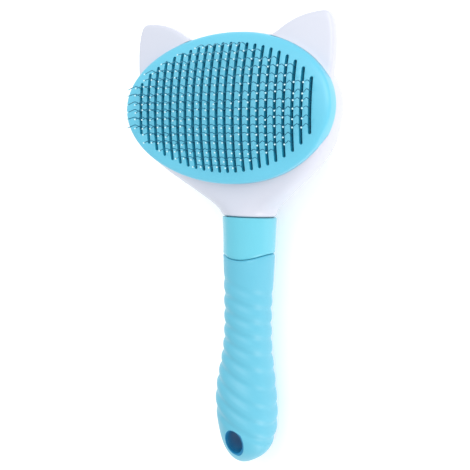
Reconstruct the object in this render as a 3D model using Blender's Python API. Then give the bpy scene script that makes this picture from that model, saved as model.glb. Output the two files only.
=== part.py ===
"""A cat-ear slicker brush that cleans itself, lying on its back with its pins up.

The head holds curved wire pins. A button in the back pushes a slotted plate out along the pins, which
lifts the hair off them, and two springs bring the plate back. The handle is a hard core in a soft sleeve.

Shapes are written in the frame of the pin face: its origin is the crown of the slotted plate, +X runs
across the head, +Y away from the handle and +Z out of the face. The empty face_frame stands that origin
above the surface that the brush lies on.
"""

import math

import bmesh
import bpy
from mathutils import Vector

MM = 0.001

# Where the pin face stands: along the brush from its middle, and above the surface it lies on.
FACE_Y = 61.4 * MM
FACE_Z = 47.3 * MM
GAP = 0.3 * MM

# Slotted plate: a cap whose top is curved along the brush and straight across it.
BARREL = 5.8
PLATE_X, PLATE_Y = 50.0 * MM, 32.3 * MM
PLATE_THICK = 2.2 * MM
SKIRT_DEPTH = 6.0 * MM
SKIRT_WALL = 2.4 * MM

# Slots and pins: two columns of pins for each row of bent wires.
SLOT_PITCH = 3.94 * MM
SLOT_COUNT = 22
SLOT_WIDTH = 1.5 * MM
SLOT_FIELD_X, SLOT_FIELD_Y, SLOT_POWER = 45.8 * MM, 27.6 * MM, 1.94
PINS_IN_ROWS = (6, 10, 12, 14, 16, 16, 16, 14, 12, 10, 6)
PIN_PITCH = 3.38 * MM
WIRE = 0.22 * MM
# Each point of a pin: how far along the brush from its place, and how high over the barrel curve.
PIN_FOOT, PIN_KNEE, PIN_TIP = (-0.5 * MM, -3.4 * MM), (1.15 * MM, 3.6 * MM), (-0.55 * MM, 8.4 * MM)

# Parts that hold the pins.
PIN_PLATE_X, PIN_PLATE_Y = 46.0 * MM, 28.2 * MM
PIN_PLATE_TOP, PIN_PLATE_BASE = -3.2 * MM, -8.6 * MM
BACKING_X, BACKING_Y = 47.2 * MM, 29.5 * MM
BACKING_TOP, BACKING_BASE = -8.9 * MM, -10.1 * MM
LEDGE_TOP, LEDGE_BASE = -10.4 * MM, -12.2 * MM
LEDGE_X, LEDGE_Y, LEDGE_OPENING_X, LEDGE_OPENING_Y = 48.6 * MM, 31.2 * MM, 45.4 * MM, 27.2 * MM
PIN_SCREW_AT = (37.0 * MM, 13.2 * MM)

# Head shells.
HEAD_X, HEAD_TOP_Y, NECK_Y = 49.6 * MM, 33.0 * MM, -46.8 * MM
HEAD_WIDEST_Z, HEAD_BACK_Z = -12.5 * MM, -38.0 * MM
NECK_Z, NECK_R = -28.5 * MM, 12.4 * MM
WALL = 1.7 * MM
HEAD_SIDES, HEAD_STEPS = 32, 14
RIM_DROP = 6.3 * MM
EAR_FRONT, EAR_BACK = -6.0 * MM, -11.2 * MM
SHELL_SCREW_AT = (22.0 * MM, 19.0 * MM)
PARTING_Z = -22.0 * MM
NECK_SCREW_Y, NECK_BOSS_TOP = -41.0 * MM, -36.2 * MM
SCREW_HOLE_R, SCREW_SEAT_R, SCREW_SEAT_DOWN = 1.5 * MM, 2.6 * MM, 1.9 * MM

# Push mechanism.
LEG_IN, LEG_OUT, LEG_HALF = 43.2 * MM, 44.3 * MM, 3.5 * MM
CARRIER_TOP, CARRIER_BASE, CARRIER_X, CARRIER_Y = -17.9 * MM, -19.9 * MM, 43.8 * MM, 6.0 * MM
SPRING_X, SPRING_R, SPRING_WIRE, SPRING_TURNS = 24.0 * MM, 3.4 * MM, 0.4 * MM, 6
CUP_FLOOR = -28.0 * MM
BUTTON_R, BUTTON_FACE = 15.5 * MM, -47.3 * MM

# Handle.
SLEEVE_Y, HANDLE_END = -63.5 * MM, -161.1 * MM
SLEEVE_COVER = 2.2 * MM
SEAM_DIP = 2.8 * MM
HANG_HOLE_Y, HANG_HOLE_X_R, HANG_HOLE_Y_R = -149.8 * MM, 4.3 * MM, 5.5 * MM
RIDGE_PITCH, RIDGE_DEPTH, RIDGE_FIRST, RIDGE_LAST = 7.0 * MM, 0.65 * MM, -78.7 * MM, -141.7 * MM

# (place along the brush, size) pairs in mm, in order along the brush.
HEAD_WIDTH = (
    (-46.8, 12.4), (-45.0, 12.6), (-43.0, 13.9), (-40.0, 17.6), (-36.0, 22.8), (-31.3, 29.2),
    (-26.0, 36.4), (-20.0, 42.3), (-12.0, 47.3), (0.0, 49.6),
)
HEAD_FRONT = (
    (-46.8, -16.1), (-42.0, -15.3), (-37.0, -13.9), (-33.0, -12.0), (-27.0, -8.0), (-18.0, -2.0), (0.0, 1.0),
)
HEAD_MIDDLE = (
    (-46.8, -28.5), (-42.0, -26.5), (-37.0, -23.5), (-32.0, -20.0), (-25.0, -16.5), (-12.0, -13.3),
    (0.0, -12.5),
)
HEAD_BACK = ((-46.8, -40.9), (-40.0, -40.5), (-25.0, -39.3), (0.0, -38.0))
HANDLE_HALF_WIDTH = (
    (-161.1, 0.0), (-160.6, 2.4), (-159.0, 5.5), (-156.5, 8.2), (-153.0, 10.6), (-149.0, 12.4),
    (-144.5, 13.75), (-140.0, 14.5), (-136.0, 14.75), (-132.0, 14.6), (-128.0, 14.2), (-120.0, 12.85),
    (-112.0, 11.7), (-104.0, 11.05), (-94.0, 11.0), (-80.0, 11.3), (-66.0, 11.8), (-58.0, 11.95),
    (-46.8, 12.4),
)
HANDLE_FRONT_DEPTH = (
    (-161.1, 0.0), (-160.6, 1.85), (-159.0, 4.2), (-156.5, 6.6), (-153.0, 8.8), (-149.0, 10.9),
    (-144.5, 12.4), (-140.0, 13.1), (-136.0, 13.65), (-128.0, 13.5), (-120.0, 12.4), (-112.0, 11.45),
    (-104.0, 10.95), (-94.0, 10.9), (-80.0, 11.2), (-66.0, 11.75), (-58.0, 11.9), (-46.8, 12.4),
)
HANDLE_BACK_DEPTH = (
    (-161.1, 0.0), (-160.6, 2.0), (-159.0, 4.7), (-156.5, 7.7), (-153.0, 10.6), (-149.0, 13.1),
    (-144.5, 15.4), (-140.0, 16.5), (-136.0, 17.1), (-128.0, 16.5), (-120.0, 15.0), (-112.0, 13.4),
    (-104.0, 12.2), (-94.0, 11.5), (-80.0, 11.2), (-66.0, 11.75), (-58.0, 11.9), (-46.8, 12.4),
)
HANDLE_MIDDLE = (
    (-161.1, -27.8), (-156.5, -27.9), (-153.0, -28.1), (-149.0, -28.6), (-144.5, -29.3), (-136.0, -30.1),
    (-128.0, -30.7), (-120.0, -31.2), (-112.0, -30.8), (-104.0, -30.2), (-94.0, -29.6), (-80.0, -29.05),
    (-66.0, -29.0), (-58.0, -28.95), (-46.8, -28.5),
)
SLEEVE_INNER_PLACES = (-75.0, -90.0, -105.0, -120.0, -132.0, -144.0, -151.0, -156.5)
SLEEVE_END_PLACES = (-146.0, -150.0, -154.0, -157.0, -159.3, -160.6)
EAR_OUTLINE = (
    (15.0, 26.5), (21.8, 31.2), (27.3, 34.6), (33.4, 37.0), (39.0, 38.1), (43.6, 38.3), (45.6, 37.2),
    (46.9, 34.0), (47.7, 29.5), (48.0, 24.0), (47.7, 18.0), (47.1, 13.0), (46.4, 9.5), (42.0, 6.0),
    (30.0, 12.0),
)
RIDGE_SLOPE = (
    (-161.1, 0.0), (-150.0, 0.38), (-141.0, 0.52), (-130.0, 0.53), (-120.0, 0.50), (-108.0, 0.42),
    (-95.0, 0.36), (-76.0, 0.35), (-63.5, 0.0),
)
PARTING_LINE = ((-60.0, -35.0), (-45.0, -35.0), (-15.0, PARTING_Z / MM), (60.0, PARTING_Z / MM))


def clear_scene():
    for obj in list(bpy.data.objects):
        bpy.data.objects.remove(obj, do_unlink=True)


def material(name, colour, roughness, metallic=0.0):
    made = bpy.data.materials.new(name)
    made.use_nodes = True
    shader = made.node_tree.nodes["Principled BSDF"]
    shader.inputs["Base Color"].default_value = (*colour, 1.0)
    shader.inputs["Roughness"].default_value = roughness
    shader.inputs["Metallic"].default_value = metallic
    return made


def empty(name, location, parent=None):
    made = bpy.data.objects.new(name, None)
    made.location = location
    made.parent = parent
    bpy.context.collection.objects.link(made)
    return made


def to_object(name, mesh_edit, look=None, parent=None, angle=35.0):
    """Ends a bmesh as an object, with its faces pointing out and shaded smooth up to the given angle."""
    bmesh.ops.recalc_face_normals(mesh_edit, faces=mesh_edit.faces)
    if mesh_edit.calc_volume(signed=True) < 0:
        bmesh.ops.reverse_faces(mesh_edit, faces=mesh_edit.faces)
    mesh = bpy.data.meshes.new(name)
    mesh_edit.to_mesh(mesh)
    mesh_edit.free()
    mesh.shade_smooth()
    mesh.set_sharp_from_angle(angle=math.radians(angle))
    made = bpy.data.objects.new(name, mesh)
    bpy.context.collection.objects.link(made)
    if look:
        mesh.materials.append(look)
    made.parent = parent
    return made


def helper(name, mesh_edit, parent):
    """An object that only cuts or joins, and is left out of the model."""
    made = to_object(name, mesh_edit, parent=parent)
    made.hide_render = True
    made.display_type = "WIRE"
    return made


def combine(target, tool, operation="DIFFERENCE"):
    step = target.modifiers.new(tool.name, "BOOLEAN")
    step.operation = operation
    step.solver = "EXACT"
    step.object = tool


def smooth_size(points, place):
    """Reads a size from (place, size) pairs in mm by a smooth curve that never overshoots them."""
    at = place / MM
    if at <= points[0][0]:
        return points[0][1] * MM
    if at >= points[-1][0]:
        return points[-1][1] * MM
    index = max(i for i in range(len(points) - 1) if points[i][0] <= at)

    def rate(i):
        return (points[i + 1][1] - points[i][1]) / (points[i + 1][0] - points[i][0])

    def slope(i):
        if i in (0, len(points) - 1):
            return rate(0 if i == 0 else i - 1)
        before, after = rate(i - 1), rate(i)
        return 0.0 if before * after <= 0 else 2 * before * after / (before + after)

    (x0, y0), (x1, y1) = points[index], points[index + 1]
    width = x1 - x0
    t = (at - x0) / width
    level = y0 * (2 * t**3 - 3 * t**2 + 1) + y1 * (3 * t**2 - 2 * t**3)
    bend = slope(index) * (t**3 - 2 * t**2 + t) + slope(index + 1) * (t**3 - t**2)
    return (level + width * bend) * MM


def barrel(y):
    """How far the curved face stands from its crown at this place along the brush."""
    return -BARREL * y * y


def signed_power(value, power):
    return math.copysign(abs(value) ** power, value)


def loft(rings):
    """A closed body through rings of points, in order, with a flat or pointed end on each."""
    made = bmesh.new()
    grid = [[made.verts.new(point) for point in ring] for ring in rings]
    for ring, following in zip(grid, grid[1:]):
        for i in range(len(ring)):
            j = (i + 1) % len(ring)
            made.faces.new((ring[i], ring[j], following[j], following[i]))
    made.faces.new(grid[0])
    made.faces.new(grid[-1][::-1])
    bmesh.ops.remove_doubles(made, verts=made.verts, dist=0.01 * MM)
    bmesh.ops.dissolve_degenerate(made, edges=made.edges, dist=0.005 * MM)
    return made


def prism(outline, low, high):
    """An outline of (x, y) points made solid between two heights."""
    made = bmesh.new()
    face = made.faces.new([made.verts.new((x, y, low)) for x, y in outline])
    top = bmesh.ops.extrude_face_region(made, geom=[face])["geom"]
    moved = [v for v in top if isinstance(v, bmesh.types.BMVert)]
    bmesh.ops.translate(made, verts=moved, vec=(0, 0, high - low))
    return made


def oval(radius_x, radius_y, segments, at=(0.0, 0.0)):
    turn = [2 * math.pi * i / segments for i in range(segments)]
    return [(at[0] + radius_x * math.cos(a), at[1] + radius_y * math.sin(a)) for a in turn]


def disc(radius, low, high, at=(0.0, 0.0), segments=24):
    return prism(oval(radius, radius, segments, at), low, high)


def block(x_range, y_range, z_range):
    (x0, x1), (y0, y1) = x_range, y_range
    return prism([(x0, y0), (x1, y0), (x1, y1), (x0, y1)], *z_range)


def joined(*pieces):
    """One bmesh that holds several separate shapes, for a cutter."""
    whole = pieces[0]
    for piece in pieces[1:]:
        mesh = bpy.data.meshes.new("part_of_cutter")
        piece.to_mesh(mesh)
        piece.free()
        whole.from_mesh(mesh)
        bpy.data.meshes.remove(mesh)
    return whole


def turned(profile, at=(0.0, 0.0), segments=24):
    """A round body from (radius, height) points that start and end on the axis."""
    made = bmesh.new()
    rings = []
    for radius, height in profile:
        if radius == 0:
            rings.append([made.verts.new((at[0], at[1], height))])
            continue
        rings.append([made.verts.new((x, y, height)) for x, y in oval(radius, radius, segments, at)])
    for ring, following in zip(rings, rings[1:]):
        for i in range(segments):
            j = (i + 1) % segments
            corners = [ring[i % len(ring)], ring[j % len(ring)]]
            corners += [following[j % len(following)], following[i % len(following)]]
            made.faces.new(list(dict.fromkeys(corners)))
    return made


# --- Slotted plate ---------------------------------------------------------------------------------


def oval_stations(half_length, steps):
    """Places along an oval, closer together towards its ends."""
    return [-half_length * math.cos(math.pi * i / steps) for i in range(steps + 1)]


def curved_oval(half_x, half_y, top, bottom, steps=14, edge=0.0, follow_bottom=False):
    """An oval slab whose top follows the barrel curve, with its upper edge rounded off by edge."""
    rings = []
    for y in oval_stations(half_y, steps):
        x = half_x * math.sqrt(max(0.0, 1 - (y / half_y) ** 2))
        high = top + barrel(y)
        low = bottom + (barrel(y) if follow_bottom else 0.0)
        inset = min(edge, x)
        rise = [(0.0, 1.0), (0.3, 0.3), (1.0, 0.0)] if edge else [(0.0, 0.0)]
        right = [(x - inset * run, y, high - edge * drop) for run, drop in rise]
        left = [(-px, py, pz) for px, py, pz in reversed(right)]
        rings.append([(x, y, low), *right, *left, (-x, y, low)])
    return loft(rings)


def slot_half_length(x):
    return SLOT_FIELD_Y * (1 - abs(x / SLOT_FIELD_X) ** SLOT_POWER) ** (1 / SLOT_POWER)


def slot_columns():
    return [(i - (SLOT_COUNT - 1) / 2) * SLOT_PITCH for i in range(SLOT_COUNT)]


def slot_shape(x, low, high):
    half, radius = slot_half_length(x), SLOT_WIDTH / 2
    turn = [math.pi * i / 3 for i in range(4)]
    upper = [(x + radius * math.cos(a), half - radius + radius * math.sin(a)) for a in turn]
    lower = [(x - radius * math.cos(a), -half + radius - radius * math.sin(a)) for a in turn]
    return prism(upper + lower, low, high)


def leg_ranges(inner, outer, half):
    """The places of the two end legs as (x range, y range)."""
    return [((inner, outer), (-half, half)), ((-outer, -inner), (-half, half))]


def leg_notches(low, high):
    """Cutters for the open notches that the end legs slide in."""
    return [block(x, y, (low, high)) for x, y in leg_ranges(LEG_IN - GAP, 60 * MM, LEG_HALF + GAP)]


def make_push_plate(look, parent):
    plate = to_object(
        "hair_push_plate",
        curved_oval(PLATE_X, PLATE_Y, 0.0, -SKIRT_DEPTH, edge=2.0 * MM, follow_bottom=True),
        look,
        parent,
    )
    hollow = helper(
        "plate_hollow_cutter",
        curved_oval(PLATE_X - SKIRT_WALL, PLATE_Y - SKIRT_WALL, -PLATE_THICK, -20 * MM),
        parent,
    )
    combine(plate, hollow)
    slots = [slot_shape(x, -8 * MM, 3 * MM) for x in slot_columns()]
    combine(plate, helper("plate_slot_cutter", joined(*slots), parent))
    for number, (x_range, y_range) in enumerate(leg_ranges(LEG_IN, LEG_OUT, LEG_HALF)):
        side = 1 if number == 0 else -1
        hook_x = sorted(side * x for x in (LEG_IN - 1.8 * MM, LEG_IN + 0.4 * MM))
        leg = block(x_range, y_range, (CARRIER_BASE - 0.5 * MM, -1.0 * MM))
        combine(plate, helper(f"plate_leg_{number + 1}", leg, parent), "UNION")
        hook = block(hook_x, y_range, (CARRIER_BASE - 1.9 * MM, CARRIER_BASE - GAP))
        combine(plate, helper(f"plate_hook_{number + 1}", hook, parent), "UNION")


# --- Pins and what holds them ----------------------------------------------------------------------


def pin_rows():
    """(row number, its left and right slot columns, places of its pins along the brush) for each row."""
    columns = slot_columns()
    for row, count in enumerate(PINS_IN_ROWS):
        places = [(i - (count - 1) / 2) * PIN_PITCH for i in range(count)]
        yield row + 1, (columns[2 * row], columns[2 * row + 1]), places


def pin_row_mesh(columns, places):
    """A row of bent wires, two abreast, that rise from one strip. The strip stands for their crowns."""
    made = bmesh.new()
    x_lines = (columns[0] - WIRE, columns[0] + WIRE, columns[1] - WIRE, columns[1] + WIRE)
    y_lines = []
    for place in places:
        foot = place + PIN_FOOT[0]
        y_lines += [foot - WIRE, foot + WIRE]
    top = [[made.verts.new((x, y, PIN_FOOT[1] + barrel(y))) for x in x_lines] for y in y_lines]
    sides = (x_lines[0], x_lines[-1])
    ends = [[made.verts.new((x, y, PIN_PLATE_BASE)) for x in sides] for y in (y_lines[0], y_lines[-1])]
    for j in range(len(y_lines) - 1):
        for i in range(3):
            square = (top[j][i], top[j][i + 1], top[j + 1][i + 1], top[j + 1][i])
            if j % 2 == 0 and i != 1:
                raise_pin(made, square, places[j // 2])
            else:
                made.faces.new(square)
    made.faces.new([row[0] for row in top] + [ends[1][0], ends[0][0]])
    made.faces.new([row[3] for row in reversed(top)] + [ends[0][1], ends[1][1]])
    made.faces.new([*reversed(top[0]), ends[0][0], ends[0][1]])
    made.faces.new([*top[-1], ends[1][1], ends[1][0]])
    made.faces.new([ends[0][0], ends[1][0], ends[1][1], ends[0][1]])
    return made


def raise_pin(made, square, place):
    """Draws one square wire up from its foot, through the knee, to the tip."""
    x = sum(v.co.x for v in square) / 4
    below = square
    for offset, height in (PIN_KNEE, PIN_TIP):
        centre = Vector((x, place + offset, height + barrel(place)))
        corners = [(-WIRE, -WIRE), (WIRE, -WIRE), (WIRE, WIRE), (-WIRE, WIRE)]
        above = [made.verts.new(centre + Vector((dx, dy, 0))) for dx, dy in corners]
        for i in range(4):
            j = (i + 1) % 4
            made.faces.new((below[i], below[j], above[j], above[i]))
        below = above
    made.faces.new(below)


def make_pins(wire_look, plate_look, parent):
    windows = []
    for number, columns, places in pin_rows():
        to_object(f"pin_row_{number:02d}", pin_row_mesh(columns, places), wire_look, parent)
        x_range = (columns[0] - WIRE - GAP, columns[1] + WIRE + GAP)
        low, high = places[0] + PIN_FOOT[0] - WIRE, places[-1] + PIN_FOOT[0] + WIRE
        windows.append(block(x_range, (low - GAP, high + GAP), (-15 * MM, 5 * MM)))
    slab = curved_oval(PIN_PLATE_X, PIN_PLATE_Y, PIN_PLATE_TOP, PIN_PLATE_BASE)
    plate = to_object("pin_plate", slab, plate_look, parent)
    windows += leg_notches(-15 * MM, 5 * MM)
    windows += [disc(SCREW_HOLE_R, -15 * MM, -5.6 * MM, at, 10) for at in screw_places(PIN_SCREW_AT)]
    combine(plate, helper("pin_plate_cutter", joined(*windows), parent))


def screw_places(corner):
    return [(corner[0] * i, corner[1] * j) for i, j in ((1, 1), (-1, 1), (-1, -1), (1, -1))]


def make_backing_plate(look, parent):
    slab = prism(oval(BACKING_X, BACKING_Y, 40), BACKING_BASE, BACKING_TOP)
    plate = to_object("pin_backing_plate", slab, look, parent)
    holes = leg_notches(-15 * MM, 5 * MM)
    holes += [disc(SCREW_HOLE_R, -15 * MM, 0.0, at, 10) for at in screw_places(PIN_SCREW_AT)]
    combine(plate, helper("backing_cutter", joined(*holes), parent))
    for side in (-1, 1):
        peg = disc(2.2 * MM, BACKING_BASE - 2.0 * MM, BACKING_BASE + 0.5 * MM, (side * SPRING_X, 0.0), 12)
        combine(plate, helper(f"spring_peg_{1 if side < 0 else 2}", peg, parent), "UNION")


def make_screw(name, at, head_end, tip_end, look, parent):
    """A pan screw from its head's outer end to its tip, whichever way it points."""
    head_r, head_high, shank_r = 2.2 * MM, 1.4 * MM, 1.2 * MM
    way = 1 if tip_end > head_end else -1
    neck = head_end + way * head_high
    profile = [
        (0.0, head_end), (head_r * 0.8, head_end), (head_r, head_end + way * head_high * 0.4), (head_r, neck),
        (shank_r, neck), (shank_r, tip_end - way * shank_r), (0.0, tip_end),
    ]
    to_object(name, turned(profile, at, 10), look, parent)


def spring_mesh(at, low, high):
    """A compression spring as one closed coil of square wire."""
    made = bmesh.new()
    steps = SPRING_TURNS * 7
    rings = []
    for i in range(steps + 1):
        t = i / steps
        angle = 2 * math.pi * SPRING_TURNS * t
        height = low + SPRING_WIRE + (high - low - 2 * SPRING_WIRE) * t
        ring = []
        for k in range(4):
            turn = math.pi / 2 * k
            radius = SPRING_R + SPRING_WIRE * math.cos(turn)
            x, y = at[0] + radius * math.cos(angle), at[1] + radius * math.sin(angle)
            ring.append(made.verts.new((x, y, height + SPRING_WIRE * math.sin(turn))))
        rings.append(ring)
    for ring, following in zip(rings, rings[1:]):
        for k in range(4):
            made.faces.new((ring[k], ring[(k + 1) % 4], following[(k + 1) % 4], following[k]))
    made.faces.new(rings[0])
    made.faces.new(rings[-1][::-1])
    return made


# --- Head shells -----------------------------------------------------------------------------------


def head_ring(y, inset, segments):
    """The outline across the head at y. The upper half is squarer over the face and round at the neck."""
    if y <= 0:
        half, front = smooth_size(HEAD_WIDTH, y), smooth_size(HEAD_FRONT, y)
        middle, back = smooth_size(HEAD_MIDDLE, y), smooth_size(HEAD_BACK, y)
    else:
        fade = math.sqrt(max(0.0, 1 - (y / HEAD_TOP_Y) ** 2))
        deep = (1 - (y / HEAD_TOP_Y) ** 2.3) ** (1 / 2.3) if y < HEAD_TOP_Y else 0.0
        half, middle = HEAD_X * fade, HEAD_WIDEST_Z
        front = middle + (1.0 * MM - middle) * deep
        back = middle + (HEAD_BACK_Z - middle) * deep
    blend = min(1.0, max(0.0, (y - NECK_Y) / (20 * MM)))
    upper_power = 2.0 + 2.6 * blend * blend * (3 - 2 * blend)
    ring = []
    for i in range(segments):
        angle = 2 * math.pi * i / segments
        power, reach = (upper_power, front - middle) if math.sin(angle) > 0 else (2.0, middle - back)
        x = max(half - inset, 0.0) * signed_power(math.cos(angle), 2 / power)
        z = middle + max(reach - inset, 0.0) * signed_power(math.sin(angle), 2 / power)
        ring.append((x, y, z))
    return ring


def head_body(inset, segments, steps):
    """The whole outside of the head, or its inside where inset is the wall."""
    top = HEAD_TOP_Y - inset
    low = NECK_Y - (1.0 * MM if inset else 0.0)
    places = [low + (top - low) * math.sin(math.pi / 2 * i / steps) for i in range(steps)]
    scale = HEAD_TOP_Y / top
    rings = [head_ring(y * scale if y > 0 else max(y, NECK_Y), inset, segments) for y in places]
    rings = [[(x, y, z) for x, _, z in ring] for y, ring in zip(places, rings)]
    return loft(rings + [[(0.0, top, HEAD_WIDEST_Z)] * segments])


def parting_block(upper):
    """Everything above, or below, the surface where the two shells meet, which falls to the neck."""
    reach = 70 * MM
    shift = GAP / 2 if upper else -GAP / 2
    far = 20 * MM if upper else -70 * MM
    points = [(y * MM, z * MM + shift) for y, z in PARTING_LINE] + [(60 * MM, far), (-60 * MM, far)]
    made = bmesh.new()
    face = made.faces.new([made.verts.new((-reach, y, z)) for y, z in points])
    side = bmesh.ops.extrude_face_region(made, geom=[face])["geom"]
    moved = [v for v in side if isinstance(v, bmesh.types.BMVert)]
    bmesh.ops.translate(made, verts=moved, vec=(2 * reach, 0, 0))
    return made


def make_ears(parent):
    """Both ears as helpers to be joined to the front shell."""
    ears = []
    for number, side in enumerate((-1, 1)):
        outline = [(side * x * MM, y * MM) for x, y in EAR_OUTLINE]
        ears.append(helper(f"ear_{number + 1}", prism(outline, EAR_BACK, EAR_FRONT), parent))
    return ears


def make_front_shell(look, parent):
    shell = to_object("head_front_shell", head_body(0.0, HEAD_SIDES, HEAD_STEPS), look, parent, angle=40)
    for ear in make_ears(parent):
        combine(shell, ear, "UNION")
    combine(shell, helper("front_half", parting_block(True), parent), "INTERSECT")
    combine(shell, helper("head_hollow_front", head_body(WALL, HEAD_SIDES, HEAD_STEPS), parent))
    ledge = prism(oval(LEDGE_X, LEDGE_Y, 32), LEDGE_BASE, LEDGE_TOP)
    combine(shell, helper("ledge", ledge, parent), "UNION")
    opening = prism(oval(LEDGE_OPENING_X, LEDGE_OPENING_Y, 32), -16 * MM, 0.0)
    combine(shell, helper("ledge_opening", opening, parent))
    for number, (x, y) in enumerate(screw_places(PIN_SCREW_AT)):
        lug = block(sorted((x * 0.9, x * 1.16)), sorted((y * 0.72, y * 1.35)), (LEDGE_BASE, LEDGE_TOP))
        combine(shell, helper(f"pin_screw_lug_{number + 1}", lug, parent), "UNION")
    trim = helper("front_boss_trim", head_body(0.5 * MM, HEAD_SIDES, HEAD_STEPS), parent)
    for number, x in enumerate((-SHELL_SCREW_AT[0], SHELL_SCREW_AT[0])):
        span = (PARTING_Z + GAP / 2, LEDGE_TOP)
        web = block((x - 1.2 * MM, x + 1.2 * MM), (SHELL_SCREW_AT[1], HEAD_TOP_Y), span)
        web = helper(f"front_web_{number + 1}", web, parent)
        combine(web, trim, "INTERSECT")
        combine(shell, web, "UNION")
        boss = disc(3.2 * MM, *span, (x, SHELL_SCREW_AT[1]), 14)
        combine(shell, helper(f"front_boss_{number + 1}", boss, parent), "UNION")
    neck_boss = disc(3.0 * MM, -23.0 * MM, -17.0 * MM, (0.0, NECK_SCREW_Y), 14)
    combine(shell, helper("front_neck_boss", neck_boss, parent), "UNION")
    holes = [disc(SCREW_HOLE_R, -30 * MM, -9 * MM, at, 10) for at in screw_places(PIN_SCREW_AT)]
    holes += [
        disc(SCREW_HOLE_R, -30 * MM, -12.6 * MM, (x, SHELL_SCREW_AT[1]), 10)
        for x in (-SHELL_SCREW_AT[0], SHELL_SCREW_AT[0])
    ]
    holes.append(disc(SCREW_HOLE_R, -30 * MM, -18.4 * MM, (0.0, NECK_SCREW_Y), 10))
    ways = leg_ranges(LEG_IN - GAP, LEG_OUT + 2 * GAP, LEG_HALF + GAP)
    holes += [block(x_range, y_range, (-16 * MM, 0.0)) for x_range, y_range in ways]
    combine(shell, helper("front_screw_holes", joined(*holes), parent))
    seat = curved_oval(PLATE_X + 0.4 * MM, PLATE_Y + 0.4 * MM, 30 * MM, -RIM_DROP, follow_bottom=True)
    combine(shell, helper("plate_seat_cutter", seat, parent))


def make_rear_shell(look, parent):
    shell = to_object("head_rear_shell", head_body(0.0, HEAD_SIDES, HEAD_STEPS), look, parent, angle=40)
    combine(shell, helper("rear_half", parting_block(False), parent), "INTERSECT")
    combine(shell, helper("head_hollow_rear", head_body(WALL, HEAD_SIDES, HEAD_STEPS), parent))
    y = SHELL_SCREW_AT[1]
    places = [(x, y, PARTING_Z - GAP / 2) for x in (-SHELL_SCREW_AT[0], SHELL_SCREW_AT[0])]
    places.append((0.0, NECK_SCREW_Y, NECK_BOSS_TOP))
    cuts = [disc(BUTTON_R + 0.4 * MM, -60 * MM, -28 * MM, segments=32)]
    trim = helper("boss_trim", head_body(0.5 * MM, HEAD_SIDES, HEAD_STEPS), parent)
    for number, (x, y, top) in enumerate(places):
        boss = helper(f"rear_boss_{number + 1}", disc(3.6 * MM, -45 * MM, top, (x, y), 14), parent)
        combine(boss, trim, "INTERSECT")
        combine(shell, boss, "UNION")
        cuts.append(disc(SCREW_HOLE_R, -60 * MM, 0.0, (x, y), 10))
        cuts.append(disc(SCREW_SEAT_R, -60 * MM, top - SCREW_SEAT_DOWN, (x, y), 12))
    for number, cut in enumerate(cuts):
        combine(shell, helper(f"rear_cut_{number + 1}", cut, parent))


# --- Push mechanism under the plate ----------------------------------------------------------------


def make_carrier(look, parent):
    bar = block((-CARRIER_X, CARRIER_X), (-CARRIER_Y, CARRIER_Y), (CARRIER_BASE, CARRIER_TOP))
    carrier = to_object("push_carrier", bar, look, parent)
    for side in (-1, 1):
        cup = disc(5.4 * MM, CUP_FLOOR - 1.4 * MM, CARRIER_TOP, (side * SPRING_X, 0.0), 16)
        combine(carrier, helper(f"spring_cup_{1 if side < 0 else 2}", cup, parent), "UNION")
    stem = disc(5.5 * MM, -28.0 * MM, CARRIER_TOP, segments=16)
    combine(carrier, helper("carrier_stem", stem, parent), "UNION")
    cuts = [disc(4.2 * MM, CUP_FLOOR, 0.0, (side * SPRING_X, 0.0), 16) for side in (-1, 1)]
    cuts += leg_notches(-30 * MM, 0.0)
    combine(carrier, helper("carrier_cutter", joined(*cuts), parent))
    head_seat = disc(SCREW_SEAT_R, -20.3 * MM, 0.0, segments=12)
    combine(carrier, helper("carrier_screw_seat", head_seat, parent))
    hole = disc(SCREW_HOLE_R, -60 * MM, 0.0, segments=10)
    combine(carrier, helper("carrier_screw_hole", hole, parent))


def make_button(look, parent):
    wall, flange = 2.0 * MM, 1.6 * MM
    inner, rim = BUTTON_R - wall, BUTTON_R + 1.8 * MM
    floor, flange_base = BUTTON_FACE + 2.0 * MM, -32.6 * MM
    profile = [
        (0.0, BUTTON_FACE), (BUTTON_R - 1.6 * MM, BUTTON_FACE), (BUTTON_R - 0.4 * MM, BUTTON_FACE + 0.5 * MM),
        (BUTTON_R, BUTTON_FACE + 1.6 * MM), (BUTTON_R, flange_base), (rim, flange_base),
        (rim, flange_base + flange), (inner, flange_base + flange), (inner, floor), (5.0 * MM, floor),
        (5.0 * MM, -28.3 * MM), (SCREW_HOLE_R, -28.3 * MM), (SCREW_HOLE_R, -37.0 * MM), (0.0, -37.0 * MM),
    ]
    to_object("push_button", turned(profile, segments=28), look, parent)


# --- Handle ----------------------------------------------------------------------------------------


def handle_middle(y):
    """How high the handle is widest here."""
    return smooth_size(HANDLE_MIDDLE, y)


def ridge(y):
    """How far the sleeve's surface dips here: rounded crests between narrow grooves."""
    if not RIDGE_LAST <= y <= RIDGE_FIRST:
        return 0.0
    return -RIDGE_DEPTH * (1 - abs(math.sin(math.pi * (RIDGE_FIRST - y) / RIDGE_PITCH)))


def lean(y):
    """How steeply the ridges cross the handle here, falling from left to right."""
    return smooth_size(RIDGE_SLOPE, y) / MM


def handle_ring(y, inset, segments, ridged=False, lip=False):
    """The handle's outline at y, taken in by inset and fuller at its back than at its front."""
    dip = ridge(y) if ridged else 0.0
    half, front, back = (
        max(smooth_size(sizes, y) - inset, 0.0) + dip
        for sizes in (HANDLE_HALF_WIDTH, HANDLE_FRONT_DEPTH, HANDLE_BACK_DEPTH)
    )
    ring = []
    for i in range(segments):
        angle = 2 * math.pi * i / segments
        x = half * math.cos(angle)
        place = y - (lean(y) * x if ridged else 0.0)
        if lip:
            place -= SEAM_DIP * max(0.0, math.sin(angle)) ** 2
        deep = front if math.sin(angle) > 0 else back
        ring.append((x, place, handle_middle(place) + deep * math.sin(angle)))
    return ring


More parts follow.
